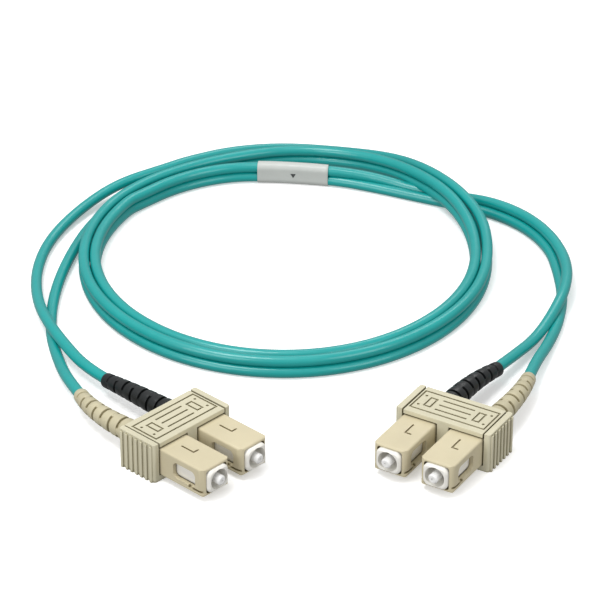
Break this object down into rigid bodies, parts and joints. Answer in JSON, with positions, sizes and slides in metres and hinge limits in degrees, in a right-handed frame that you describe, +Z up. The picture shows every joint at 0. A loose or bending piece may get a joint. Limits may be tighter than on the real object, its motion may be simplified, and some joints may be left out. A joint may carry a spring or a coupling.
{
  "type": "duplex fibre optic patch cord",
  "caption": "Duplex fibre patch cord with aqua twin jacket, clipped push-pull plugs with beige grips, and black and beige ribbed boots, coiled in a loop.",
  "frame": {"origin": "on the floor, midway between the two plug pairs", "axes": "+Z up, loop of cord behind the plugs at +Y, +X to the right of the pair with the plugs facing the viewer"},
  "size_m": [0.1429, 0.1795, 0.0105],
  "materials": {
    "cord_jacket": "satin",
    "label_vinyl": "satin",
    "clip_plastic": "satin",
    "grip_plastic": "satin",
    "frame_plastic": "satin",
    "zirconia": "polished",
    "holder_metal": "satin",
    "spring_steel": "satin",
    "rear_plastic": "satin",
    "crimp_metal": "satin",
    "fibre_buffer": "satin",
    "black_boot": "satin",
    "beige_boot": "satin"
  },
  "bodies": {
    "cord_and_plugs": {"cord_loop": "cord_jacket", "cord_label": "label_vinyl", "left_black_leg": "cord_jacket", "left_beige_leg": "cord_jacket", "right_black_leg": "cord_jacket", "right_beige_leg": "cord_jacket", "left_black_plug_frame": "frame_plastic", "left_black_spring": "spring_steel", "left_black_rear_body": "rear_plastic", "left_black_crimp_sleeve": "crimp_metal", "left_black_boot": "black_boot", "left_beige_plug_frame": "frame_plastic", "left_beige_spring": "spring_steel", "left_beige_rear_body": "rear_plastic", "left_beige_crimp_sleeve": "crimp_metal", "left_beige_boot": "beige_boot", "right_black_plug_frame": "frame_plastic", "right_black_spring": "spring_steel", "right_black_rear_body": "rear_plastic", "right_black_crimp_sleeve": "crimp_metal", "right_black_boot": "black_boot", "right_beige_plug_frame": "frame_plastic", "right_beige_spring": "spring_steel", "right_beige_rear_body": "rear_plastic", "right_beige_crimp_sleeve": "crimp_metal", "right_beige_boot": "beige_boot"},
    "left_black_ferrule_set": {"left_black_ferrule": "zirconia", "left_black_ferrule_holder": "holder_metal", "left_black_buffered_fibre": "fibre_buffer"},
    "left_beige_ferrule_set": {"left_beige_ferrule": "zirconia", "left_beige_ferrule_holder": "holder_metal", "left_beige_buffered_fibre": "fibre_buffer"},
    "left_release": {"left_clip_base": "clip_plastic", "left_clip_cover": "clip_plastic", "left_black_grip": "grip_plastic", "left_beige_grip": "grip_plastic"},
    "right_black_ferrule_set": {"right_black_ferrule": "zirconia", "right_black_ferrule_holder": "holder_metal", "right_black_buffered_fibre": "fibre_buffer"},
    "right_beige_ferrule_set": {"right_beige_ferrule": "zirconia", "right_beige_ferrule_holder": "holder_metal", "right_beige_buffered_fibre": "fibre_buffer"},
    "right_release": {"right_clip_base": "clip_plastic", "right_clip_cover": "clip_plastic", "right_black_grip": "grip_plastic", "right_beige_grip": "grip_plastic"}
  },
  "joints": [
    {"name": "left_black_ferrule_float", "type": "slide", "parent": "cord_and_plugs", "child": "left_black_ferrule_set", "axis": [-0.723, 0.6909, 0], "range_m": [0, 0.0009], "stiffness_N_per_m": 600, "springref_m": -0.013, "deforming": ["left_black_spring"]},
    {"name": "left_beige_ferrule_float", "type": "slide", "parent": "cord_and_plugs", "child": "left_beige_ferrule_set", "axis": [-0.723, 0.6909, 0], "range_m": [0, 0.0009], "stiffness_N_per_m": 600, "springref_m": -0.013, "deforming": ["left_beige_spring"]},
    {"name": "left_release_slide", "type": "slide", "parent": "cord_and_plugs", "child": "left_release", "axis": [-0.723, 0.6909, 0], "range_m": [0, 0.0015]},
    {"name": "right_black_ferrule_float", "type": "slide", "parent": "cord_and_plugs", "child": "right_black_ferrule_set", "axis": [0.5195, 0.8545, 0], "range_m": [0, 0.0009], "stiffness_N_per_m": 600, "springref_m": -0.013, "deforming": ["right_black_spring"]},
    {"name": "right_beige_ferrule_float", "type": "slide", "parent": "cord_and_plugs", "child": "right_beige_ferrule_set", "axis": [0.5195, 0.8545, 0], "range_m": [0, 0.0009], "stiffness_N_per_m": 600, "springref_m": -0.013, "deforming": ["right_beige_spring"]},
    {"name": "right_release_slide", "type": "slide", "parent": "cord_and_plugs", "child": "right_release", "axis": [0.5195, 0.8545, 0], "range_m": [0, 0.0015]}
  ]
}
